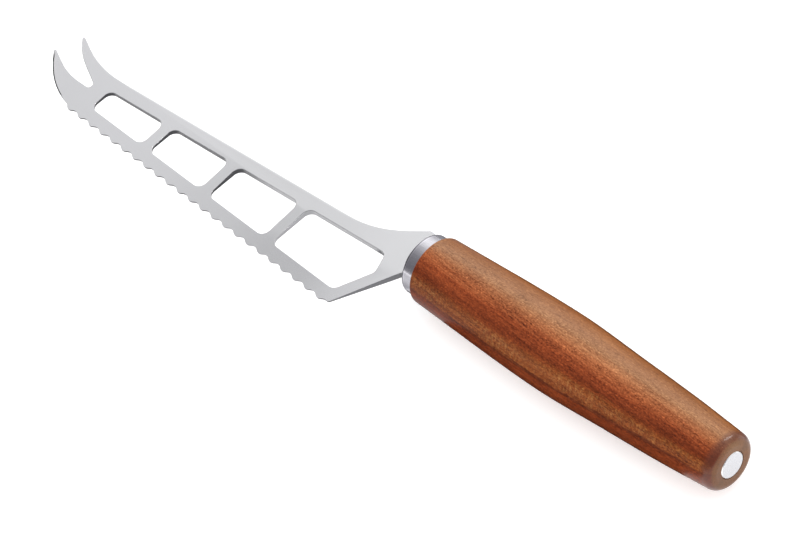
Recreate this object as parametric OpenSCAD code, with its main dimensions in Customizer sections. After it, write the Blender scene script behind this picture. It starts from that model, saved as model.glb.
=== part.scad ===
// Cheese knife: a blade with windows, a scalloped edge and a forked tip on a turned wooden handle.
// The handle's axis runs along X and the tip points to -X. The spine faces +Y and the edge -Y.

/* [Handle] */
// Length of the wooden handle, from its front shoulder to the butt
handle_len = 115; // [95:1:135]
// Diameter of the wood at its front shoulder
front_d = 21; // [20:0.1:23]
// Diameter at the belly, the thickest part of the grip
belly_d = 24.25; // [22:0.05:28]
// Diameter where the grip has narrowed behind the belly
waist_d = 22.1; // [20:0.1:24]
// Diameter further back, towards the butt
tail_d = 20.3; // [18:0.1:22]
// Diameter where the rounding of the butt starts
butt_d = 17.75; // [16:0.05:20]
// Radius of the rounding at the butt
butt_round = 2.9; // [1:0.1:4]
// Radius of the rounding at the front shoulder
front_round = 0.6; // [0.2:0.1:1.5]

/* [Ferrule] */
// Outer diameter of the ferrule
ferrule_d = 18.7; // [18:0.1:19.5]
// Length of the ferrule
ferrule_len = 4.4; // [4:0.1:8]
// Thickness of the ferrule's wall and front
ferrule_wall = 0.9; // [0.6:0.1:1.5]
// Radius of the rounding round its front face
ferrule_round = 0.5; // [0.2:0.1:0.8]

/* [Blade] */
// Thickness of the steel sheet
sheet_t = 2; // [1.5:0.1:2.5]
// Thickness left at the foot of the scallops
edge_t = 0.5; // [0.3:0.1:0.8]
// Slope of each ground face, in degrees
grind_angle = 2.4; // [2.2:0.1:3]
// How far the edge tine's point reaches ahead of the wood, before it is rounded
blade_reach = 160.1; // [150:0.1:175]
// Height of the spine line above the handle's axis, at the wood's front
spine_rise = 0.75; // [0:0.05:2]
// Depth of the edge line below the handle's axis, at the wood's front
edge_drop = 27.35; // [26:0.1:30]
// Angle at which the spine falls towards the tip, in degrees
spine_tilt = 2.5; // [1.5:0.1:3]
// Angle at which the edge rises towards the tip, in degrees
edge_tilt = 2.6; // [1.5:0.1:3]
// Radius of the belly, where the edge curves up to the tip
belly_r = 31; // [24:1:36]
// Angle at which the belly meets the tip, in degrees
belly_angle = 46; // [42:0.5:55]

/* [Scalloped edge] */
// Share of the edge, from heel to tip, that is scalloped
scalloped_share = 0.866; // [0.7:0.001:0.92]
// Depth of a scallop
scallop_depth = 0.95; // [0.5:0.05:1.2]
// Number of scallops
scallop_count = 23; // [16:1:26]

/* [Neck] */
// How far the heel's corner lies ahead of the wood
heel_reach = 17.2; // [15:0.1:20]
// Angle of the heel's straight back, in degrees
heel_angle = 62.3; // [58:0.1:70]
// Depth of the neck below the handle's axis
neck_drop = 6.8; // [6:0.1:8.5]
// Height of the neck above the handle's axis, at its top corner
neck_rise = 9.2; // [8.4:0.1:10]
// Height of the neck above the handle's axis, where it meets the ferrule
neck_end_rise = 8.4; // [7:0.1:8.5]
// How far the neck's top corner lies ahead of the ferrule
neck_corner_reach = 6.4; // [3:0.1:8]
// Angle at which the spine climbs to the neck, in degrees
neck_ramp = 35; // [28:0.5:40]
// Radius of the sweep from the spine into the neck
neck_sweep_r = 34; // [20:1:40]

/* [Windows] */
// Width of the steel left between spine and windows
spine_band = 4.65; // [4:0.05:5.5]
// Width of the steel left between scallops and windows
edge_band = 3.85; // [3.5:0.05:5]
// Width of the steel left between heel and windows
heel_band = 3.8; // [3:0.05:6]
// Width of the bars between the windows
bar_w = 3.8; // [3:0.05:5]
// Length of the window next to the handle, as a share of a front window's
heel_window_share = 1.39; // [1.2:0.01:1.6]
// Length of the second window, as a share of a front window's
second_window_share = 1.056; // [0.8:0.001:1.3]
// Depth below the handle's axis of the blunt point next to the neck
window_point_drop = 11.2; // [10:0.1:14]
// Slope of the window's side above that point, in degrees
window_point_angle = 70; // [60:0.5:80]
// Radius of the windows' corners
window_r = 2.6; // [1:0.1:3]

/* [Forked tip] */
// How far the gap's closed end lies behind the edge tine's point
fork_len = 22.4; // [20:0.1:26]
// Length of steel between the front window and the fork's gap
fork_root_len = 6.4; // [5:0.1:9]
// Height of the gap at its closed end
fork_gap = 2; // [1.9:0.1:3.5]
// Radius of the corners at the gap's closed end
fork_gap_r = 0.9; // [0.5:0.05:0.9]
// How far the spine tine's point lies behind the edge tine's
tine_setback = 3.7; // [1:0.1:6]
// Length over which the spine tine bends up
spine_tine_len = 15.5; // [12:0.1:18]
// Angle of the spine tine's upper side, in degrees
spine_tine_angle = 23.7; // [18:0.1:28]
// Angle of the spine tine's lower side at its point, in degrees
spine_tip_angle = 45; // [40:0.5:50]
// Angle of the spine tine's lower side at the closed end, in degrees
spine_root_angle = 25; // [18:0.1:28]
// Length of the steeper part at the spine tine's point
spine_tip_len = 6.4; // [5:0.1:8]
// Angle of the edge tine's upper side, in degrees
edge_tine_angle = 24.2; // [18:0.1:28]
// Length over which the edge tine's upper side rises
edge_tine_len = 12.3; // [9:0.1:14]
// Radius of the curve along the spine tine's back
tine_back_r = 41; // [25:1:45]
// Radius of the curves on both sides of the gap
tine_gap_r = 28; // [15:1:30]
// Radius of the tines' points
tine_tip_r = 0.45; // [0.3:0.05:0.6]
// Thickness of the fork at its tip
tip_t = 1; // [0.7:0.1:1.4]
// Slope of each face towards the tip, in degrees
tip_taper = 1.2; // [1:0.1:2]

/* [Tang, rod and nut] */
// Width of the flat tang
tang_w = 8; // [6:0.1:10]
// Length of the flat tang inside the wood
tang_len = 26; // [20:1:34]
// Diameter of the tang rod
rod_d = 5; // [4:0.1:6]
// Length of the tang held in the rod's slot
rod_grip = 12; // [8:0.5:14]
// Diameter of the round end nut
nut_d = 8.6; // [7.8:0.1:10]
// Length of the end nut
nut_len = 6; // [5:0.5:9]
// Thickness of the closed face of the end nut
nut_cap = 1.5; // [1:0.1:3]
// Chamfer round the nut's visible face
nut_chamfer = 0.35; // [0.1:0.05:0.6]
// Clearance all round between pieces that slide together
fit_gap = 0.05; // [0.02:0.01:0.1]

/* [Hidden] */

// Largest angle between two points of an arc
arc_step = 5;
// Number of sides of a turned piece
$fn = 96;
// Points along one scallop, and along the grip between two of its diameters
scallop_steps = 10;
profile_steps = 12;
// Overrun of every cut past the steel or wood that it goes through
overrun = 1;
// Radius of the heel's corner, and the plain length of edge next to it
heel_corner_r = 0.8;
heel_flat = 1.2;
// Radii where the heel meets the neck and at the neck's top corner
neck_corner_r = 0.6;
kink_r = 0.8;

// Outlines

function unit(v) = v / norm(v);

// Where the line through p at angle a meets the line through q at angle b
function meet(p, a, q, b) =
    let (run = q - p)
    p + (run[0] * sin(b) - run[1] * cos(b)) / sin(b - a) * [cos(a), sin(a)];

function arc_points(c, r, a, turn) =
    let (n = max(2, ceil(abs(turn) / arc_step)))
    [for (i = [0:n]) c + r * [cos(a + turn * i / n), sin(a + turn * i / n)]];

// The corner at v between p and q, rounded to radius r
function rounded_corner(p, v, q, r) =
    let (
        to_p = unit(p - v),
        to_q = unit(q - v),
        half = acos(to_p * to_q) / 2,
        c = v + unit(to_p + to_q) * r / sin(half),
        first = v + to_p * r / tan(half) - c,
        last = v + to_q * r / tan(half) - c,
        a = atan2(first[1], first[0]),
        turn = atan2(last[1], last[0]) - a
    )
    arc_points(c, r, a, turn > 180 ? turn - 360 : turn < -180 ? turn + 360 : turn);

// The inner points of a run, each rounded to its own radius
function rounded_run(points, radii) = [
    for (i = [1:len(points) - 2]) each rounded_corner(points[i - 1], points[i], points[i + 1], radii[i - 1])
];
function rounded_loop(points, r) =
    rounded_run([points[len(points) - 1], each points, points[0]], [for (p = points) r]);

// Blade

// The spine and the edge are lines through these two points
spine_origin = [0, spine_rise];
edge_origin = [0, -edge_drop];
function on_spine(x) = spine_origin + x * [1, tan(spine_tilt)];
function on_edge(x) = edge_origin + x * [1, -tan(edge_tilt)];

heel_corner = on_edge(-heel_reach);
neck_foot = meet(heel_corner, heel_angle, [0, -neck_drop], 0);
neck_kink = [-ferrule_len - neck_corner_reach, neck_rise];
neck_sweep = meet(neck_kink, neck_ramp, spine_origin, spine_tilt);

// The lines round the windows, and the blunt point of the one next to the neck
window_top = spine_origin - [0, spine_band];
window_foot = edge_origin + [0, edge_band];
window_heel = heel_corner + heel_band * [-sin(heel_angle), cos(heel_angle)];
window_point = meet(window_heel, heel_angle, [0, -window_point_drop], 0);

// The windows, counted from the handle to the tip, share the length between neck and fork
window_shares = [heel_window_share, second_window_share, 1, 1];
window_count = len(window_shares);
function total(list, n) = n < 1 ? 0 : list[n - 1] + total(list, n - 1);
gap_end = [fork_len - blade_reach, 0];
window_room = window_point[0] - gap_end[0] - fork_root_len - (window_count - 1) * bar_w;
share_len = window_room / total(window_shares, window_count);
function window_right(i) = window_point[0] - total(window_shares, i) * share_len - i * bar_w;
function window_left(i) = window_right(i) - window_shares[i] * share_len;
function window_end(x) = [
    meet([x, 0], 90, window_top, spine_tilt),
    meet([x, 0], 90, window_foot, -edge_tilt)
];
function window_corners(i) =
    let (left = window_end(window_left(i)), right = window_end(window_right(i)))
    i == 0 ? [
        left[0],
        left[1],
        meet(window_foot, -edge_tilt, window_heel, heel_angle),
        window_point,
        meet(window_point, -window_point_angle, window_top, spine_tilt)
    ] : [left[0], left[1], right[1], right[0]];

// The fork: the spine tine, the gap's closed end, then the edge tine
spine_tip_x = tine_setback - blade_reach;
fork_bend = on_spine(spine_tip_x + spine_tine_len);
spine_tip = fork_bend + spine_tine_len * [-1, tan(spine_tine_angle)];
spine_knee = spine_tip + spine_tip_len * [1, -tan(spine_tip_angle)];
gap_top = meet(gap_end, 90, spine_knee, -spine_root_angle);
gap_foot = gap_top - [0, fork_gap];
edge_knee = [edge_tine_len - blade_reach, gap_foot[1]];
edge_tip = edge_knee + edge_tine_len * [-1, tan(edge_tine_angle)];

// The belly: an arc that leaves the edge line and runs on to the edge tine's point
belly_corner = meet(edge_tip, -belly_angle, edge_origin, -edge_tilt);
belly_turn = belly_angle - edge_tilt;
belly_start = belly_corner + belly_r * tan(belly_turn / 2) * [cos(edge_tilt), -sin(edge_tilt)];
function edge_normal(turn) = [-sin(edge_tilt + turn), -cos(edge_tilt + turn)];
belly_centre = belly_start - belly_r * edge_normal(0);

// The edge from the heel to the tip: its place after a length s, moved out by an offset
edge_start = heel_corner + heel_flat * [-cos(edge_tilt), sin(edge_tilt)];
straight_len = norm(belly_start - edge_start);
function turn_at(s) = s < straight_len ? 0 : (s - straight_len) / belly_r * 180 / PI;
function edge_point(s, offset) =
    s < straight_len
        ? edge_start + s * [-cos(edge_tilt), sin(edge_tilt)] + offset * edge_normal(0)
        : belly_centre + (belly_r + offset) * edge_normal(turn_at(s));

// A scallop is two equal arcs that run smoothly into each other, one hollow and one proud
scallop_pitch = scalloped_share * (straight_len + belly_r * belly_turn * PI / 180) / scallop_count;
scallop_r = (pow(scallop_pitch / 2, 2) + pow(scallop_depth, 2)) / (4 * scallop_depth);
function sagitta(x) = scallop_r - sqrt(pow(scallop_r, 2) - pow(x, 2));
function scallop_height(share) =
    let (from_crest = abs(share - 1 / 2) * scallop_pitch)
    from_crest < scallop_pitch / 4
        ? scallop_depth - sagitta(from_crest)
        : sagitta(scallop_pitch / 2 - from_crest);
scallops = [
    for (i = [scallop_count * scallop_steps:-1:0])
        edge_point(i * scallop_pitch / scallop_steps, scallop_height(i % scallop_steps / scallop_steps))
];
plain_turn = belly_turn - turn_at(scallop_count * scallop_pitch);
belly = arc_points(belly_centre, belly_r, -90 - belly_angle, plain_turn);

// From the ferrule along the neck and the spine, round the fork, and back along the edge
upper_run = [
    [-ferrule_len, neck_end_rise], neck_kink, neck_sweep, fork_bend, spine_tip, spine_knee,
    gap_top, gap_foot, edge_knee, edge_tip, belly_corner
];
upper_radii = [
    kink_r, neck_sweep_r, tine_back_r, tine_tip_r, tine_gap_r, fork_gap_r, fork_gap_r, tine_gap_r, tine_tip_r
];
lower_run = [edge_start, heel_corner, neck_foot, [-ferrule_len, -neck_drop]];
blade_outline = [
    upper_run[0],
    each rounded_run(upper_run, upper_radii),
    for (i = [0:len(belly) - 2]) belly[i],
    each scallops,
    each rounded_run(lower_run, [heel_corner_r, neck_corner_r]),
    lower_run[3],
    [-ferrule_len, -tang_w / 2],
    [tang_len, -tang_w / 2],
    [tang_len, tang_w / 2],
    [-ferrule_len, tang_w / 2]
];

// Handle

// Shares of the handle's length at which its diameters are given
station_shares = [0, 0.42, 0.655, 0.82, 1 - butt_round / handle_len];
station_ds = [front_d, belly_d, waist_d, tail_d, butt_d];
last_station = len(station_ds) - 1;
function station_slope(i) =
    let (a = max(i - 1, 0), b = min(i + 1, last_station))
    (station_ds[b] - station_ds[a]) / (station_shares[b] - station_shares[a]);
// Diameter between station i and the next, a part t of the way along
function grip_d(i, t) =
    let (w = station_shares[i + 1] - station_shares[i])
    station_ds[i] * (2 * pow(t, 3) - 3 * pow(t, 2) + 1)
    + station_ds[i + 1] * (3 * pow(t, 2) - 2 * pow(t, 3))
    + w * station_slope(i) * (pow(t, 3) - 2 * pow(t, 2) + t)
    + w * station_slope(i + 1) * (pow(t, 3) - pow(t, 2));
grip = [
    for (i = [0:last_station - 1], k = [1:profile_steps])
        let (t = k / profile_steps, share = station_shares[i] * (1 - t) + station_shares[i + 1] * t)
        [grip_d(i, t) / 2, share * handle_len]
];
spigot_r = ferrule_d / 2 - ferrule_wall - fit_gap;
spigot_len = ferrule_len - ferrule_wall - fit_gap;
butt_centre = [butt_d / 2 - butt_round, handle_len - butt_round];
handle_profile = [
    [0, -spigot_len],
    [spigot_r, -spigot_len],
    [spigot_r, 0],
    each arc_points([front_d / 2 - front_round, front_round], front_round, -90, 90),
    each grip,
    each arc_points(butt_centre, butt_round, 0, 90),
    [0, handle_len]
];

// The origin lies under the middle of the whole knife, at the height of the handle's underside
grip_r = max([for (p = grip) p[0]]);
blade_x = min([for (p = blade_outline) p[0]]);
blade_y = min([for (p = blade_outline) p[1]]);
knife_origin = [(blade_x + handle_len) / 2, (blade_y + grip_r) / 2, -grip_r];

// Moves a finished piece from the handle's axis to the knife's own origin
module placed(piece_color) {
    color(piece_color) translate(-knife_origin) children();
}

// Turns a profile about the handle's axis
module turned() {
    rotate([0, 90, 0]) rotate_extrude() children();
}

// A round bar along the handle's axis from one place to another
module bar(from, to, d) {
    translate([from, 0, 0]) rotate([0, 90, 0]) cylinder(d = d, h = to - from);
}

// The room that the flat tang takes, with a gap all round
module tang_room(from, to, gap) {
    translate([from, -tang_w / 2 - gap, -sheet_t / 2 - gap])
        cube([to - from, tang_w + 2 * gap, sheet_t + 2 * gap]);
}

// What the grinding takes off the blade's upper side: a slope up from the edge, and one back from the tip
module ground_off() {
    slab = blade_reach;
    translate([heel_corner[0], heel_corner[1], edge_t / 2])
        rotate([0, 0, -edge_tilt])
        rotate([grind_angle, 0, 0])
        translate([-slab, -slab / 2, 0])
        cube([slab + heel_reach, slab, sheet_t]);
    translate([-blade_reach, -slab / 2, tip_t / 2])
        rotate([0, -tip_taper, 0])
        translate([-overrun, 0, 0])
        cube([slab, slab, sheet_t]);
}

module blade() {
    placed("lightsteelblue")
    difference() {
        translate([0, 0, -sheet_t / 2]) linear_extrude(sheet_t) polygon(blade_outline);
        for (i = [0:window_count - 1])
            translate([0, 0, -sheet_t / 2 - overrun])
            linear_extrude(sheet_t + 2 * overrun)
            polygon(rounded_loop(window_corners(i), window_r));
        for (side = [0, 1]) mirror([0, 0, side]) ground_off();
    }
}

module ferrule() {
    r = ferrule_d / 2;
    placed("silver")
    difference() {
        turned() polygon([
            [0, -ferrule_len],
            each arc_points([r - ferrule_round, ferrule_round - ferrule_len], ferrule_round, -90, 90),
            [r, 0],
            [r - ferrule_wall, 0],
            [r - ferrule_wall, ferrule_wall - ferrule_len],
            [0, ferrule_wall - ferrule_len]
        ]);
        tang_room(-ferrule_len - overrun, 0, fit_gap);
    }
}

module handle() {
    placed("sienna")
    difference() {
        turned() polygon(handle_profile);
        tang_room(-spigot_len - overrun, tang_len + fit_gap, fit_gap);
        bar(tang_len - rod_grip - fit_gap, handle_len, rod_d + 2 * fit_gap);
        bar(handle_len - nut_len, handle_len + overrun, nut_d + 2 * fit_gap);
    }
}

module tang_rod() {
    placed("gray")
    difference() {
        bar(tang_len - rod_grip, handle_len - nut_cap - fit_gap, rod_d);
        tang_room(tang_len - rod_grip - overrun, tang_len, 0);
    }
}

module end_nut() {
    r = nut_d / 2;
    placed("gainsboro")
    difference() {
        turned() polygon([
            [0, handle_len - nut_len],
            [r, handle_len - nut_len],
            [r, handle_len - nut_chamfer],
            [r - nut_chamfer, handle_len],
            [0, handle_len]
        ]);
        bar(handle_len - nut_len - overrun, handle_len - nut_cap, rod_d);
    }
}

blade();
ferrule();
handle();
tang_rod();
end_nut();
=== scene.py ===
import bpy
import math
from mathutils import Matrix, Vector
from mathutils.bvhtree import BVHTree


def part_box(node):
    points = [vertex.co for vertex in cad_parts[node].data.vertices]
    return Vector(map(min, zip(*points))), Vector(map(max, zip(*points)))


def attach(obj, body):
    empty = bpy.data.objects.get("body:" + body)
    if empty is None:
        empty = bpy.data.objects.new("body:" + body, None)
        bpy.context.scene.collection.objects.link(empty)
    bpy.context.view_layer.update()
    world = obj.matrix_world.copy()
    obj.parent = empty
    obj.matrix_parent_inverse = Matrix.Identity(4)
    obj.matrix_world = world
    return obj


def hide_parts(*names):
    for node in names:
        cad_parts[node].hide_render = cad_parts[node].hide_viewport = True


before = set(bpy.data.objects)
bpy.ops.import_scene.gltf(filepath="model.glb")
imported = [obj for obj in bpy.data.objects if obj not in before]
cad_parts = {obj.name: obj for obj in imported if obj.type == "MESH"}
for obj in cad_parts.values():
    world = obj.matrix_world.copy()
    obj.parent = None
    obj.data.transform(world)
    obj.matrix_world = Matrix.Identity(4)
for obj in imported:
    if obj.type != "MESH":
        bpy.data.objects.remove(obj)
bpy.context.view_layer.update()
scene = bpy.context.scene
scene.view_settings.view_transform = "Standard"


# A socket that can be added, multiplied and so on, each sign adding its Math node
class Value:
    def __init__(self, shader, socket):
        self.shader = shader
        self.socket = socket

    def maths(self, operation, *others):
        return self.shader.node("ShaderNodeMath", {"operation": operation}, [self, *others])

    def __add__(self, other): return self.maths("ADD", other)
    def __radd__(self, other): return self.maths("ADD", other)
    def __sub__(self, other): return self.maths("SUBTRACT", other)
    def __rsub__(self, other):
        return self.shader.node("ShaderNodeMath", {"operation": "SUBTRACT"}, [other, self])

    def __mul__(self, other): return self.maths("MULTIPLY", other)
    def __truediv__(self, other): return self.maths("DIVIDE", other)
    def __pow__(self, other): return self.maths("POWER", other)


# One material being wired, or the world
class Shader:
    def __init__(self, owner):
        owner.use_nodes = True
        self.tree = owner.node_tree
        self.tree.nodes.clear()

    # Adds a node of any type: its settings first, then values or links for its sockets
    def node(self, kind, settings=None, sockets=None, out=0):
        added = self.tree.nodes.new(kind)
        for name, setting in (settings or {}).items():
            if name == "stops":
                ramp = added.color_ramp
                while len(ramp.elements) < len(setting):
                    ramp.elements.new(0.5)
                for element, (place, colour) in zip(ramp.elements, setting):
                    element.position = place
                    element.color = (*colour, 1)
            else:
                setattr(added, name, setting)
        entries = sockets.items() if isinstance(sockets, dict) else enumerate(sockets or [])
        for key, entry in entries:
            if isinstance(entry, Value):
                self.tree.links.new(entry.socket, added.inputs[key])
            elif entry is not None:
                added.inputs[key].default_value = entry
        return Value(self, added.outputs[out])

    def place(self, name="Object"):
        return self.node("ShaderNodeTexCoord", out=name)

    def mapped(self, vector, scale=(1, 1, 1), shift=(0, 0, 0), turn=(0, 0, 0)):
        return self.node("ShaderNodeMapping", None, {
            "Vector": vector, "Scale": scale, "Location": shift, "Rotation": turn})

    def split(self, vector):
        parts = self.tree.nodes.new("ShaderNodeSeparateXYZ")
        self.tree.links.new(vector.socket, parts.inputs[0])
        return [Value(self, output) for output in parts.outputs]

    def join(self, x, y, z):
        return self.node("ShaderNodeCombineXYZ", None, [x, y, z])

    def noise(self, vector, scale=1.0, detail=2.0, rough=0.5):
        return self.node("ShaderNodeTexNoise", None, {
            "Vector": vector, "Scale": scale, "Detail": detail, "Roughness": rough})

    # A value stretched from one range to another and clamped
    def fit(self, value, low, high, toLow=0.0, toHigh=1.0, kind="LINEAR"):
        return self.node("ShaderNodeMapRange", {"interpolation_type": kind}, [value, low, high, toLow, toHigh])

    # A colour by stops placed in the value's own units
    def graded(self, value, stops):
        low, high = stops[0][0], stops[-1][0]
        ramp = [((place - low) / (high - low), tint) for place, tint in stops]
        return self.node("ShaderNodeValToRGB", {"stops": ramp}, [self.fit(value, low, high)])

    def mix(self, factor, first, second, blend="MIX"):
        return self.node("ShaderNodeMix", {"data_type": "RGBA", "blend_type": blend}, {
            0: factor, 6: first, 7: second}, out=2)

    def shaded(self, colour, shade):
        return self.mix(1.0, colour, self.join(shade, shade, shade), "MULTIPLY")

    def bump(self, height, depth, strength=1.0, normal=None):
        return self.node("ShaderNodeBump", None, {
            "Height": height, "Distance": depth, "Strength": strength, "Normal": normal})

    def finish(self, **sockets):
        surface = self.node("ShaderNodeBsdfPrincipled", None,
                            {name.replace("_", " "): entry for name, entry in sockets.items()})
        self.close(surface)

    def close(self, surface):
        output = self.tree.nodes.new("ShaderNodeOutputMaterial")
        self.tree.links.new(surface.socket, output.inputs["Surface"])


def newShader(name):
    material = bpy.data.materials.new(name)
    return material, Shader(material)


# Steel

bladeLook = {
    "colour": (0.945, 0.945, 0.95),
    "shadeStops": [(-0.120, 0.97), (-0.090, 0.98), (-0.070, 0.95), (-0.055, 0.89),
                   (-0.035, 0.84), (-0.012, 0.84), (0.005, 0.89), (0.020, 0.88)],
    "groundLoss": 0.10,
    "wallDark": (0.050, 0.050, 0.054),
    "wallPaintedLight": (0.30, 0.30, 0.31),
    "wallLightFrom": (-0.055, -0.035),
    "rimShade": (0.07, 0.07, 0.075),
    "bellyCentre": (-0.1116, 0.0174),
    "bellyRadius": 0.0310,
    "shadeLineWidth": 0.00036,
    "shadeLineGrowth": 0.00012,
    "tipSlope": 0.0418,
    "spineEasing": 2.0,
    "roughness": 0.24,
    "grainLength": 0.004,
    "grainWidth": 0.00012,
    "grainDepth": 0.000002,
}


def bladeSteel():
    material, s = newShader("satinBladeSteel")
    at = s.place()
    look = bladeLook
    # fine satin grain that runs along the blade
    fine = 1 / look["grainWidth"]
    grain = s.noise(s.mapped(at, (1 / look["grainLength"], fine, fine)), 1.0, 3.0, 0.6)
    clouds = s.noise(at, 45.0, 3.0, 0.55)
    wear = s.noise(at, 400.0, 4.0, 0.65)
    along, upwards = s.split(at)[:2]
    # painted shade along the blade: the faces are painted darker in steps from the tines towards the handle
    shadeAlong = s.graded(along, [(place, (tone, tone, tone)) for place, tone in look["shadeStops"]])
    faceColour = s.shaded((*look["colour"], 1), 1.02 + (grain - 0.5) * 0.025 + (clouds - 0.5) * 0.02)
    faceColour = s.mix(1.0, faceColour, shadeAlong, "MULTIPLY")
    # less light comes back from the ground side near the heel
    ground = s.fit(upwards * -1, 0.009, 0.013) * s.fit(along, -0.040, -0.024)
    ground = ground * (1 - s.fit(along, -0.008, 0.003))
    faceColour = s.shaded(faceColour, 1 - ground * look["groundLoss"])
    # the cut walls stand square to the faces and are duller, and are painted darker still as shade; the rims
    # facing the tip are painted dark as shade too
    across, upward, facing = s.split(s.place("Normal"))
    steep = facing.maths("ABSOLUTE")
    wall = 1 - s.fit(steep, 0.15, 0.5)
    rim = s.fit(across * -1, 0.08, 0.25) * (1 - s.fit(upward, -0.05, 0.15)) * s.fit(along, -0.1362, -0.1350)
    # painted shade: a dark line where the belly is ground round, from the tip to the first scallop
    right, above = along - look["bellyCentre"][0], upwards - look["bellyCentre"][1]
    away = (right * right + above * above).maths("SQRT")
    width = look["shadeLineWidth"] + s.fit(along * -1, 0.1225, 0.1310) * look["shadeLineGrowth"]
    line = s.fit(away - look["bellyRadius"] + width, 0.0, 0.00012)
    line = line * (1 - s.fit(along, -0.1216, -0.1206)) * (1 - s.fit(upwards, -0.0030, -0.0012))
    faceColour = s.mix((rim + line).maths("MINIMUM", 1.0), faceColour, (*look["rimShade"], 1))
    # painted light and shade on the walls: darker towards the fork, paler towards the handle
    wallLightAlong = s.fit(along, *look["wallLightFrom"], kind="SMOOTHSTEP")
    wallColour = s.mix(wallLightAlong, (*look["wallDark"], 1), (*look["wallPaintedLight"], 1))
    colour = s.mix(wall, faceColour, wallColour)
    roughness = look["roughness"] + (grain - 0.5) * 0.04 + (wear - 0.5) * 0.03
    # the polish evens out the thinned tips and eases the rims on the side of the spine
    even = s.fit(steep, 0.93, 0.98)
    thinned = s.fit(across * -1, 0.005, 0.015) * even
    eased = s.fit(upward, 0.10, 0.30) * look["spineEasing"]
    lifted = facing + facing.maths("SIGN") * eased
    tilt = s.join(across * (1 - even), upward - thinned * look["tipSlope"], lifted)
    tilt = s.node("ShaderNodeVectorMath", {"operation": "NORMALIZE"}, [tilt])
    s.finish(Base_Color=colour, Metallic=1.0, Roughness=roughness,
             Normal=s.bump(grain, look["grainDepth"], 0.2, tilt))
    return material


ferruleLook = {
    "colour": (0.80, 0.785, 0.83),
    "roughness": 0.17,
    "ringWidth": 0.00018,
    "ringDepth": 0.000006,
    "grooveShade": 0.01792,
    "beadHighlight": 0.01828,
}


def ferruleSteel():
    material, s = newShader("turnedFerruleSteel")
    x = s.split(s.place())[0]
    look = ferruleLook
    # rings left by turning: the pattern changes only along the axis
    rings = s.noise(s.join(x * (1 / look["ringWidth"]), 0.0, 0.0), 1.0, 3.0, 0.7)
    specks = s.noise(s.mapped(s.place(), (9000, 500, 500)), 1.0, 2.0, 0.6)
    brushed = s.noise(s.mapped(s.place(), (400, 2600, 2600)), 1.0, 3.0, 0.6)
    shade = 0.95 + (rings - 0.5) * 0.12 + (specks - 0.5) * 0.08 + (brushed - 0.5) * 0.22
    # painted shade for a fine groove and a painted highlight line beside it, behind the front rim
    grooveShade = 1 - s.fit((x - look["grooveShade"]).maths("ABSOLUTE"), 0.00008, 0.00022)
    beadHighlight = 1 - s.fit((x - look["beadHighlight"]).maths("ABSOLUTE"), 0.00006, 0.00020)
    shade = shade * (1 - grooveShade * 0.55) + beadHighlight * 0.14
    roughness = look["roughness"] + (rings - 0.5) * 0.14 + (specks - 0.5) * 0.05
    s.finish(Base_Color=s.shaded((*look["colour"], 1), shade), Metallic=1.0, Roughness=roughness,
             Normal=s.bump(rings, look["ringDepth"], 0.5))
    return material


nutLook = {
    "colour": (0.60, 0.605, 0.63),
    "chamferHighlight": (0.95, 0.95, 0.96),
    "roughness": 0.28,
    "scratchTurn": 35,
    "scratchDepth": 0.000003,
}


def nutSteel():
    material, s = newShader("groundNutSteel")
    at = s.place()
    look = nutLook
    turn = (math.radians(look["scratchTurn"]), 0, 0)
    scratches = s.noise(s.mapped(at, (1500, 9000, 700), turn=turn), 1.0, 3.0, 0.6)
    clouds = s.noise(at, 600.0, 2.0, 0.5)
    # painted highlight: faces turned off the axis, such as the chamfer round the disc, are painted pale
    flat = s.fit(s.split(s.place("Normal"))[0], 0.85, 0.97)
    colour = s.mix(flat, (*look["chamferHighlight"], 1), (*look["colour"], 1))
    colour = s.shaded(colour, 0.97 + (scratches - 0.5) * 0.06 + (clouds - 0.5) * 0.05)
    s.finish(Base_Color=colour, Metallic=1.0, Roughness=look["roughness"] + (scratches - 0.5) * 0.12,
             Normal=s.bump(scratches, look["scratchDepth"], 0.4))
    return material


rodLook = {"colour": (0.58, 0.58, 0.60), "roughness": 0.4}


def rodSteel():
    material, s = newShader("drawnRodSteel")
    streaks = s.noise(s.mapped(s.place(), (120, 5000, 5000)), 1.0, 3.0, 0.6)
    colour = s.shaded((*rodLook["colour"], 1), 0.95 + (streaks - 0.5) * 0.15)
    s.finish(Base_Color=colour, Metallic=1.0, Roughness=rodLook["roughness"] + (streaks - 0.5) * 0.1)
    return material


# Wood

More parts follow.
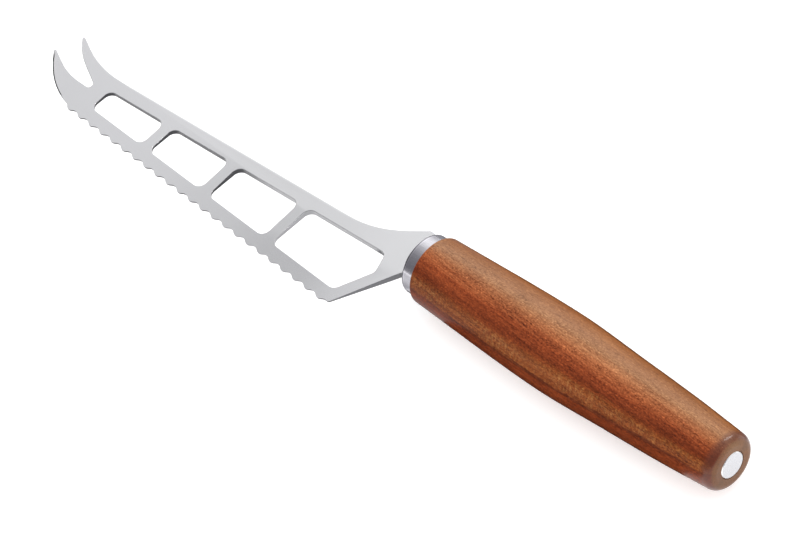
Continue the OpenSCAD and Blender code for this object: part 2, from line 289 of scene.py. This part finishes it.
woodLook = {
    "axis": (0.0, 0.00761, 0.01213),
    "pith": (0.0, -0.0074, -0.0139),
    "slant": (0.0, -0.03, 0.045),
    "ringWidth": 0.0021,
    "ringWander": 0.006,
    # how fine each figure of the grain is, along the handle and across it
    "figures": {
        "wander": (11, 70, 70),
        "clouds": (26, 120, 120),
        "streaks": (40, 1300, 1300),
        "fibres": (260, 2900, 2900),
        "grit": (1300, 2900, 2900),
        "sparkle": (1500, 3100, 3100),
        "redness": (45, 320, 320),
        "bars": (1500, 620, 620),
        "patches": (60, 260, 260),
        "pores": (900, 2600, 2600),
    },
    # the colour by the side, in degrees round the axis, with painted light and shade in it: tan on the upper
    # side, darker below
    "facing": 114.4,
    "sideShadeStops": [
        (-180, (0.220, 0.060, 0.015)),
        (-135, (0.185, 0.046, 0.011)),
        (-90, (0.190, 0.045, 0.011)),
        (-72, (0.185, 0.033, 0.006)),
        (-50, (0.185, 0.031, 0.005)),
        (-34, (0.185, 0.038, 0.006)),
        (-18, (0.160, 0.026, 0.005)),
        (-3, (0.260, 0.049, 0.011)),
        (9, (0.350, 0.097, 0.030)),
        (32, (0.385, 0.174, 0.072)),
        (58, (0.335, 0.134, 0.047)),
        (76, (0.290, 0.100, 0.028)),
        (120, (0.270, 0.084, 0.022)),
        (180, (0.220, 0.060, 0.015)),
    ],
    "red": (0.28, 0.055, 0.013),
    "redShare": 0.38,
    "redSide": -2,
    "dark": (0.070, 0.014, 0.006),
    "darkShare": 0.55,
    "darkSide": -50,
    "golden": (0.235, 0.070, 0.013),
    "goldenShare": 0.35,
    "fleck": (0.52, 0.25, 0.075),
    "fleckShare": 0.27,
    "fleckSide": -38,
    "edgeShadeLoss": 0.45,
    "frontLoss": 0.14,
    "rearLoss": 0.08,
    "roundShare": 0.75,
    "rounding": (0.105, 0.026, 0.013),
    "roundFrom": (0.1325, 0.1352),
    "endGrain": (0.170, 0.092, 0.050),
    "endFrom": (0.1360, 0.1366),
    "roughness": 0.33,
    "varnish": 0.45,
    "grainDepth": 0.00003,
}


def plumWood():
    material, s = newShader("varnishedPlumWood")
    look = woodLook
    at = s.mapped(s.place(), turn=look["slant"])
    x, y, z = s.split(s.mapped(at, shift=tuple(-c for c in look["pith"])))

    def figure(name, detail, rough, **place):
        return s.noise(s.mapped(at, look["figures"][name], **place), 1.0, detail, rough)

    # growth rings about a pith outside the handle, wandering slowly along the grain
    wander = figure("wander", 3.0, 0.5)
    radius = (y * y + z * z).maths("SQRT") + (wander - 0.5) * look["ringWander"]
    rings = s.noise(s.join(radius * (1 / look["ringWidth"]), x * 7.0, 0.0), 1.0, 2.0, 0.55)
    # broad clouds, long streaks, fine fibres and sparkling short ones
    clouds = figure("clouds", 2.0, 0.5)
    streaks = figure("streaks", 3.0, 0.6)
    fibres = figure("fibres", 3.0, 0.65)
    grit = figure("grit", 2.0, 0.6)
    sparkle = s.fit(figure("sparkle", 1.0, 0.5, shift=(5, 2, 7)), 0.58, 0.78)
    # the side of the surface, in degrees round the axis, with 0 facing the photographer
    out = s.split(s.mapped(s.place(), shift=tuple(-c for c in look["axis"])))
    side = look["facing"] - out[2].maths("ARCTAN2", out[1]) * (180 / math.pi)
    side = side + (side.maths("LESS_THAN", -180.0) - side.maths("GREATER_THAN", 180.0)) * 360
    plainSide = side.maths("ABSOLUTE")
    side = side + (wander - 0.5) * 26 + (streaks - 0.5) * 14
    # painted light and shade round the handle, lighter and tan on the upper side, and the grain runs through
    # them
    colour = s.graded(side, look["sideShadeStops"])
    band = 1 - s.fit((side - look["redSide"]).maths("ABSOLUTE"), 4.0, 30.0, kind="SMOOTHSTEP")
    redness = s.fit(figure("redness", 3.0, 0.6, shift=(3, 1, 2)), 0.42, 0.60)
    colour = s.mix(redness * band * look["redShare"], colour, (*look["red"], 1))
    # a golden strip with short flecks across it, and a dark vein beside it
    strip = 1 - s.fit((side - look["fleckSide"]).maths("ABSOLUTE"), 5.0, 16.0, kind="SMOOTHSTEP")
    bars = s.fit(figure("bars", 2.0, 0.5, turn=(0, 0, 0.25)), 0.44, 0.70)
    patches = s.fit(figure("patches", 2.0, 0.5, shift=(1, 4, 2)), 0.32, 0.56)
    colour = s.mix(strip * look["goldenShare"], colour, (*look["golden"], 1))
    colour = s.mix(strip * (0.2 + patches * 0.8) * bars * look["fleckShare"], colour, (*look["fleck"], 1))
    veinWidth = 1.0 + s.noise(s.join(x * 75, 0.0, 0.0), 1.0, 2.0, 0.5) * 8
    vein = 1 - s.fit((side - look["darkSide"]).maths("ABSOLUTE") / veinWidth, 0.2, 1.0, kind="SMOOTHSTEP")
    colour = s.mix(vein * look["darkShare"], colour, (*look["dark"], 1))
    # the grain shows less where the light lies on it
    calm = 1 - s.fit(side, 12, 40) * 0.45
    shade = (0.96 + (rings - 0.5) * 0.65 + (clouds - 0.5) * 0.45 + (streaks - 0.5) * 1.00 * calm
             + ((fibres - 0.5) * 1.20 + (grit - 0.5) * 2.10 + sparkle * 0.8) * calm).maths("MAXIMUM", 0.15)
    # painted shade along the outlines, where the turned side turns away from the front, and darker towards
    # both ends
    edge = s.fit(plainSide, 75, 84) * (1 - s.fit(plainSide, 94, 110))
    front = 1 - s.fit(out[0], 0.022, 0.065)
    rear = s.fit(out[0], 0.095, 0.125)
    darker = front * look["frontLoss"] + rear * look["rearLoss"]
    shade = shade * (1 - edge * look["edgeShadeLoss"]) * (1 - darker)
    colour = s.mix(1.0, colour, s.join(shade, shade ** 1.2, shade ** 1.35), "MULTIPLY")
    # darker wood over the rounding of the butt, and its end grain
    rounding = s.fit(out[0], *look["roundFrom"], kind="SMOOTHSTEP")
    end = s.fit(out[0], *look["endFrom"], kind="SMOOTHSTEP")
    pores = s.noise(s.mapped(s.place(), look["figures"]["pores"]), 1.0, 2.0, 0.6)
    endColour = s.shaded(s.mix(end, (*look["rounding"], 1), (*look["endGrain"], 1)), 0.6 + pores * 0.8)
    colour = s.mix(rounding * look["roundShare"], colour, endColour)
    s.finish(Base_Color=colour, Roughness=look["roughness"] + (fibres - 0.5) * 0.14,
             Specular_IOR_Level=0.16, Coat_Weight=rounding * (1 - end) * look["varnish"], Coat_Roughness=0.20,
             Normal=s.bump(fibres * 0.6 + grit * 0.4, look["grainDepth"], 0.25))
    return material


def dress(node, material):
    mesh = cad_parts[node].data
    mesh.materials.clear()
    mesh.materials.append(material)


dress("ferrule", ferruleSteel())
dress("handle", plumWood())
dress("tang_rod", rodSteel())
dress("end_nut", nutSteel())
print("materials ready")


# A copy of a CAD node's mesh as a piece of its own, its triangles merged into flat faces
def copyOf(node, name, mergeDistance=0.000002, flatAngle=0.05):
    bpy.ops.object.select_all(action="DESELECT")
    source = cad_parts[node]
    piece = bpy.data.objects.new(name, source.data.copy())
    scene.collection.objects.link(piece)
    bpy.context.view_layer.objects.active = piece
    piece.select_set(True)
    bpy.ops.object.mode_set(mode="EDIT")
    bpy.ops.mesh.select_all(action="SELECT")
    bpy.ops.mesh.remove_doubles(threshold=mergeDistance)
    bpy.ops.mesh.dissolve_limited(angle_limit=math.radians(flatAngle))
    bpy.ops.object.mode_set(mode="OBJECT")
    return piece


# The rims' shares are of the steel's half thickness, and their places lie along the blade
bladeRims = {
    "width": 0.0008,
    "steps": 3,
    "innerShare": 0.15,
    "spineShare": 0.70,
    "spineAlong": (-0.134, -0.100, -0.016, 0.002),
    "bellyShare": 0.90,
    "bellyAlong": (-0.136, -0.131, -0.1225, -0.1212),
    "neckAlong": (0.021, 0.020),
    "tips": [(-0.1368, -0.0010), (-0.1335, 0.0083)],
    "fromTips": (0.0012, 0.0062),
    "thinHalf": 0.00030,
    "sharpAngle": 40,
    "smoothAngle": 30,
    "slack": 0.000003,
}


# 0 up to the start, 1 from the full place on, and an even slope between the two
def rise(place, start, full):
    return max(0.0, min(1.0, (place - start) / (full - start)))


def between(place, start, full, less, end):
    return min(rise(place, start, full), rise(place, end, less))


def onSpine(at, wall):
    return wall.y > 0.25 and at.y > -0.002


# The outer side of the lower tine and the belly, under a line that climbs towards the tip
def onBelly(at, wall):
    return wall.x < -0.1 and wall.y < 0.1 and at.y < -0.0028 - 0.35 * min(0, at.x + 0.128)


# Tells the bevel how wide each rim of the blade's faces gets
def weighRims(piece):
    mesh = piece.data
    rims = bladeRims
    middle = (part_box("blade")[0].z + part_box("blade")[1].z) / 2
    normals = {}
    for face in mesh.polygons:
        for key in face.edge_keys:
            normals.setdefault(key, []).append(face.normal)
    weights = mesh.attributes.new("bevel_weight_edge", "FLOAT", "EDGE")
    for edge in mesh.edges:
        pair = normals.get(edge.key, [])
        if len(pair) == 2 and pair[0].angle(pair[1], 0) > math.radians(rims["sharpAngle"]):
            half = sum(abs(mesh.vertices[i].co.z - middle) for i in edge.vertices) / 2
            wall = max(pair, key=lambda n: 1 - abs(n.z))
            at = sum((mesh.vertices[i].co for i in edge.vertices), Vector()) / 2
            share = rims["innerShare"] if half > rims["thinHalf"] else 0
            if onSpine(at, wall):
                share += (rims["spineShare"] - share) * between(at.x, *rims["spineAlong"])
            elif onBelly(at, wall):
                share += (rims["bellyShare"] - share) * between(at.x, *rims["bellyAlong"])
            fromTip = min((at.xy - Vector(tip)).length for tip in rims["tips"])
            share *= rise(fromTip, *rims["fromTips"]) * rise(at.x, *rims["neckAlong"])
            weights.data[edge.index].value = min(1, share * half / rims["width"])


# Puts back on the solid's surface what the rims' bevel pushed past it
def keepWithin(piece, solid):
    corners = [vertex.co for vertex in solid.vertices]
    surface = BVHTree.FromPolygons(corners, [list(face.vertices) for face in solid.polygons])
    for vertex in piece.data.vertices:
        near, normal = surface.find_nearest(vertex.co)[:2]
        if (vertex.co - near).dot(normal) > bladeRims["slack"]:
            vertex.co = near


def makeBlade():
    piece = copyOf("blade", "rimmedBlade")
    solid = piece.data.copy()
    piece.data.materials.clear()
    piece.data.materials.append(bladeSteel())
    bpy.ops.object.shade_smooth_by_angle(angle=math.radians(bladeRims["smoothAngle"]))
    weighRims(piece)
    rims = piece.modifiers.new("rims", "BEVEL")
    rims.limit_method = "WEIGHT"
    rims.width = bladeRims["width"]
    rims.segments = bladeRims["steps"]
    rims.use_clamp_overlap = False
    rims.harden_normals = True
    bpy.ops.object.modifier_apply(modifier=rims.name)
    keepWithin(piece, solid)
    bpy.data.meshes.remove(solid)
    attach(piece, "root")
    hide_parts("blade")
    print("blade made:", len(piece.data.polygons), "faces")


makeBlade()


# Studio

studio = {
    "floorSize": 6,
    "floorColour": (0.97, 0.97, 0.97),
    "floorGlow": 0.30,
    "world": 0.88,
    "keyStrength": 0.85,
    "keySpread": 35,
    "keyFrom": (-0.582, 0.683, 0.443),
    "ceilingStrength": 0.85,
    "ceilingSpread": 140,
    "ceilingFrom": (-0.10, 0.15, 0.98),
}


def aimed(obj, direction):
    obj.rotation_euler = Vector(direction).to_track_quat("Z", "Y").to_euler()


def makeFloor():
    bpy.ops.object.select_all(action="DESELECT")
    bpy.ops.mesh.primitive_plane_add(size=studio["floorSize"], location=(0, 0, 0))
    floor = bpy.context.object
    floor.name = "paleFloor"
    material, s = newShader("palePaper")
    specks = s.noise(s.place(), 900.0, 2.0, 0.5)
    colour = s.shaded((*studio["floorColour"], 1), 0.995 + (specks - 0.5) * 0.01)
    s.finish(Base_Color=colour, Roughness=0.9, Specular_IOR_Level=0.1,
             Emission_Color=(1, 1, 1, 1), Emission_Strength=studio["floorGlow"])
    floor.data.materials.append(material)


# White where it is seen, straight or by reflection, and a little darker where it lights
def makeWorld():
    world = bpy.data.worlds.new("studioWorld")
    scene.world = world
    s = Shader(world)
    straight = s.node("ShaderNodeLightPath", out="Is Camera Ray")
    rays = straight.socket.node.outputs
    seen = straight + Value(s, rays["Is Glossy Ray"]) + Value(s, rays["Is Transmission Ray"])
    strength = s.fit(seen.maths("MINIMUM", 1.0), 0.0, 1.0, studio["world"], 1.0)
    glow = s.node("ShaderNodeBackground", None, {"Color": (1, 1, 1, 1), "Strength": strength})
    output = s.tree.nodes.new("ShaderNodeOutputWorld")
    s.tree.links.new(glow.socket, output.inputs["Surface"])


def makeSun(name, strength, spread, direction, shines=True, shades=True):
    light = bpy.data.lights.new(name, "SUN")
    light.energy = strength
    light.angle = math.radians(spread)
    lamp = bpy.data.objects.new(name, light)
    scene.collection.objects.link(lamp)
    lamp.visible_glossy = shines
    light.use_shadow = shades
    aimed(lamp, direction)


# An emitter that only reflections see, its brightness following a value from low to high
def glowing(obj, name, measure, stops, strength=1.0):
    material, s = newShader(name)
    tinted = [(place, (0.985 * glow ** 1.03, 0.99 * glow ** 1.04, glow)) for place, glow in stops]
    colour = s.graded(measure(s), tinted)
    s.close(s.node("ShaderNodeEmission", None, {"Color": colour, "Strength": strength}))
    obj.data.materials.append(material)
    obj.name = name
    for ray in ("camera", "diffuse", "transmission", "volume_scatter", "shadow"):
        setattr(obj, "visible_" + ray, False)


# What the steel reflects from all round, as a photographer sets it with grey cards: brightness
# by the angle from behind the spine, over the top, to the side of the edge
dome = {
    "radius": 2.6,
    "stops": [(-30, 0.26), (-20, 0.30), (-4, 0.42), (12, 0.67), (28, 0.93), (44, 1.00),
              (60, 0.84), (66, 0.77), (71, 0.59), (78, 0.55), (92, 0.41), (108, 0.28),
              (124, 0.23), (150, 0.19), (164, 0.20), (173, 0.30), (183, 0.68), (200, 0.72)],
}


def makeDome():
    bpy.ops.object.select_all(action="DESELECT")
    bpy.ops.mesh.primitive_uv_sphere_add(segments=48, ring_count=24, radius=dome["radius"])
    bpy.ops.object.shade_smooth()

    def angle(s):
        y, z = s.split(s.place())[1:]
        return (y * -1).maths("ARCTAN2", z) * (180 / math.pi) + 90
    glowing(bpy.context.object, "greyDome", angle, dome["stops"])


# A small softbox behind the butt, which shows as a streak on the rounding
softbox = {"towards": (0.13, 0.73, 0.67), "distance": 2.2, "width": 0.30, "height": 1.3, "glow": 14.0}


def makeSoftbox():
    bpy.ops.object.select_all(action="DESELECT")
    bpy.ops.mesh.primitive_plane_add(size=1)
    made = bpy.context.object
    made.scale = (softbox["width"], softbox["height"], 1)
    made.location = Vector(softbox["towards"]).normalized() * softbox["distance"]
    aimed(made, softbox["towards"])
    glowing(made, "softbox", lambda s: s.split(s.place())[1], [(-0.5, 1.0), (0.5, 1.0)], softbox["glow"])


# The cards that lie on the table, with their brightness from the low side to the high one; their dark stops
# are painted reflections of the shade under and beside the knife
tableCards = {
    "besideFerrule": {
        "low": (-0.006, -0.075), "high": (0.012, 0.30), "height": 0.0006,
        "stops": [(-0.075, 0.72), (-0.030, 0.74), (-0.018, 0.66), (-0.011, 0.48), (-0.005, 0.46),
                  (0.0, 0.40), (0.02, 0.25), (0.05, 0.28), (0.18, 0.40), (0.30, 0.42)]},
    "besideHandle": {
        "low": (0.012, -0.090), "high": (0.122, 0.30), "height": 0.0006,
        "stops": [(-0.090, 0.20), (-0.030, 0.06), (0.0, 0.01), (0.06, 0.01), (0.30, 0.10)]},
    "behindHeel": {
        "low": (0.0115, -0.034), "high": (0.029, -0.002), "height": 0.0009,
        "stops": [(-0.034, 0.80), (-0.002, 0.66)]},
    "lowSide": {
        "low": (-0.150, -0.400), "high": (0.055, -0.030), "height": 0.0004,
        "stops": [(-0.400, 0.72), (-0.030, 0.72)]},
    "farSide": {
        "low": (-0.450, 0.035), "high": (0.140, 1.200), "height": 0.0004,
        "stops": [(0.035, 0.32), (0.200, 0.38), (1.200, 0.42)]},
    "beforeTip": {
        "low": (-0.400, -0.060), "high": (-0.152, 0.040), "height": 0.0006,
        "stops": [(-0.060, 0.05), (0.040, 0.05)]},
}


def makeTableCards():
    for name, card in tableCards.items():
        (x0, y0), (x1, y1) = card["low"], card["high"]
        bpy.ops.object.select_all(action="DESELECT")
        bpy.ops.mesh.primitive_plane_add(size=1)
        made = bpy.context.object
        middle, length = (y0 + y1) / 2, y1 - y0
        made.matrix_world = (Matrix.Translation(((x0 + x1) / 2, middle, card["height"]))
                             @ Matrix.Diagonal((x1 - x0, length, 1, 1)))
        glowing(made, name, lambda s: s.split(s.place())[1] * length + middle, card["stops"])


makeFloor()
makeWorld()
makeSun("keySun", studio["keyStrength"], studio["keySpread"], studio["keyFrom"], shades=False)
makeSun("ceilingSun", studio["ceilingStrength"], studio["ceilingSpread"], studio["ceilingFrom"], shines=False)
makeDome()
makeSoftbox()
makeTableCards()
print("studio ready")


# Camera at the photograph's angle

view = {
    "place": (0.71670629, -0.41623282, 0.9310399),
    "turn": (0.70340523, 0.20743039, 0.79627402),
    "lens": 195.7243,
    "sensor": 36,
}
lens = bpy.data.cameras.new("photoView")
lens.sensor_width = view["sensor"]
lens.lens = view["lens"]
lens.clip_end = 20
camera = bpy.data.objects.new("photoView", lens)
scene.collection.objects.link(camera)
camera.location = view["place"]
camera.rotation_euler = view["turn"]
scene.camera = camera

print("scene ready")
